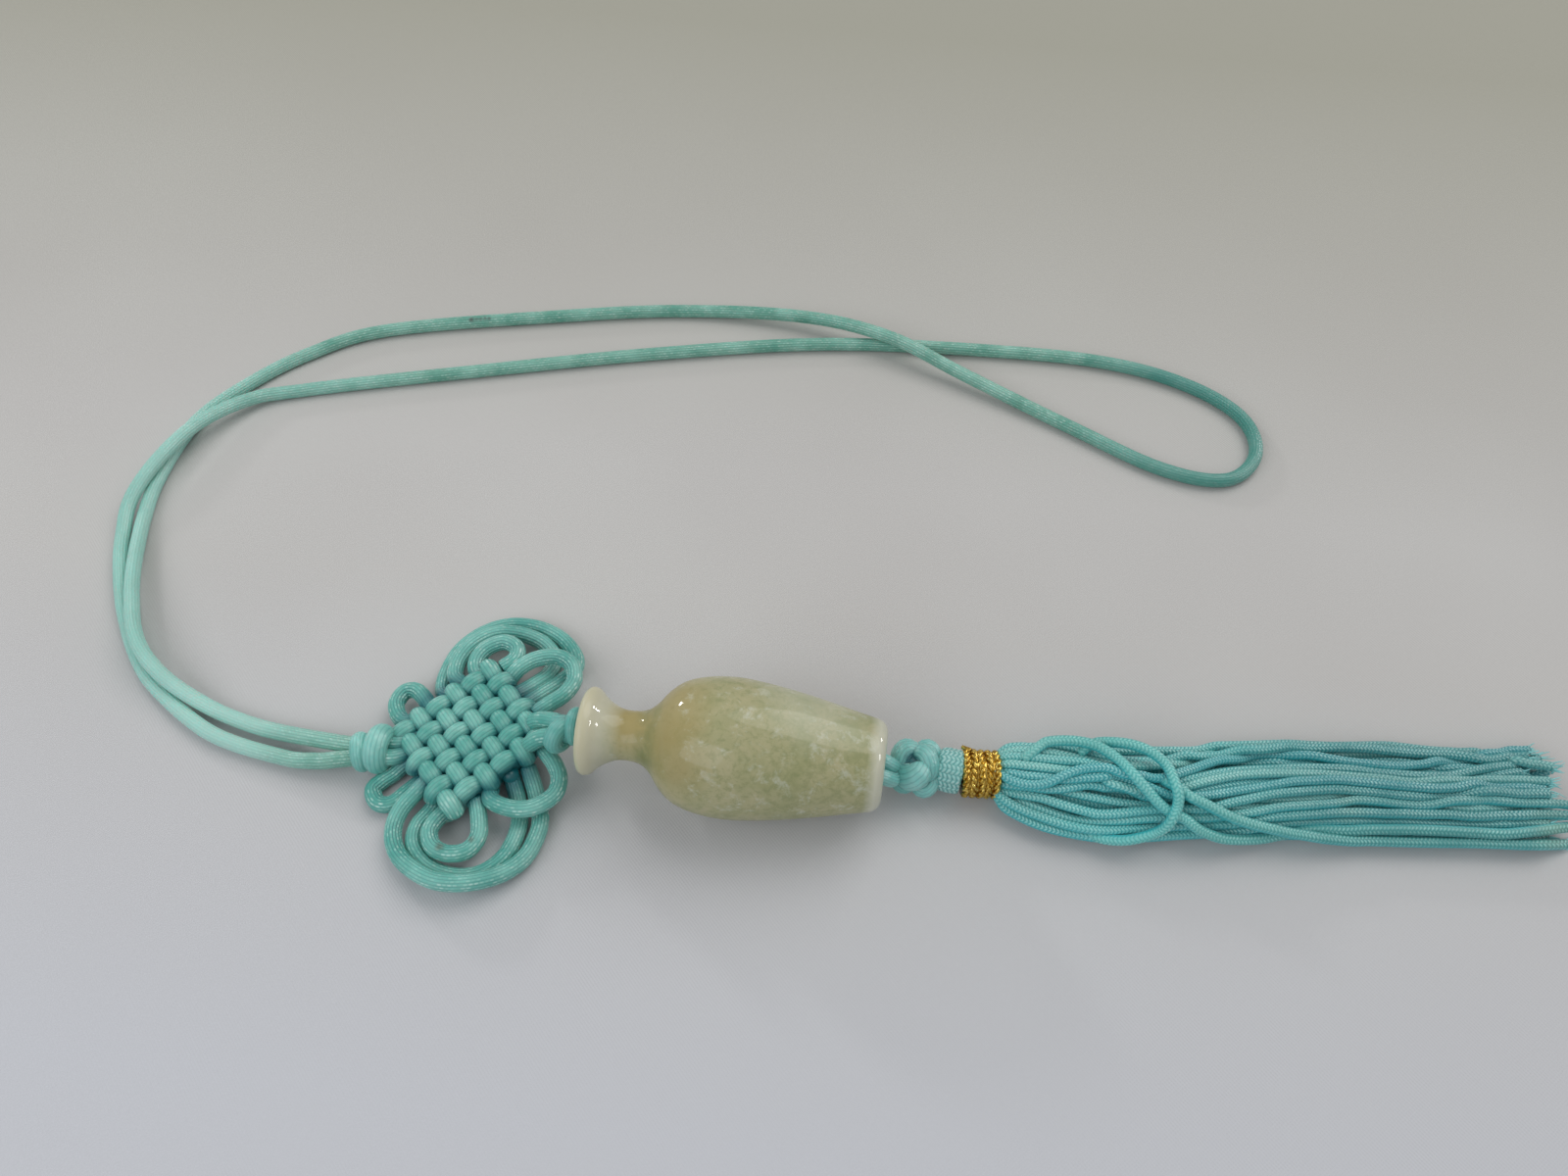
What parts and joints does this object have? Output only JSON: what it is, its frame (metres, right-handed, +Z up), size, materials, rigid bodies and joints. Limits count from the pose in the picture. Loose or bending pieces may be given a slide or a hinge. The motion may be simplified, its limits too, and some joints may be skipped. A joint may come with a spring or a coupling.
{
  "type": "tassel necklace",
  "caption": "Satin cord neck loop, woven butterfly knot, small glazed vase and long knitted tassel with a gold thread binding, lying on a surface.",
  "frame": {"origin": "middle of the length and width of the knot, vase and tassel, on the surface that they lie on", "axes": "+X along the vase's axis from its mouth towards the tassel, +Y away from the viewer towards the neck loop, +Z up"},
  "size_m": [0.2285, 0.1224, 0.02],
  "materials": {
    "satin_cord": "turquoise satin knotting cord, fine lengthwise ribs, soft sheen",
    "glaze": "clear glossy glaze over mottled sage green and cream",
    "gold_thread": "twisted metallic gold thread",
    "tassel_thread": "knitted aqua tassel cord, soft sheen"
  },
  "bodies": {
    "root": {"neck_cord": "satin_cord", "top_knot": "satin_cord", "butterfly_knot": "satin_cord", "mouth_knot": "satin_cord", "pendant_cord_front": "satin_cord", "pendant_cord_back": "satin_cord", "vase": "glaze", "button_knot": "satin_cord", "tassel_head": "tassel_thread", "gold_binding": "gold_thread", "tassel": "tassel_thread"}
  },
  "joints": []
}
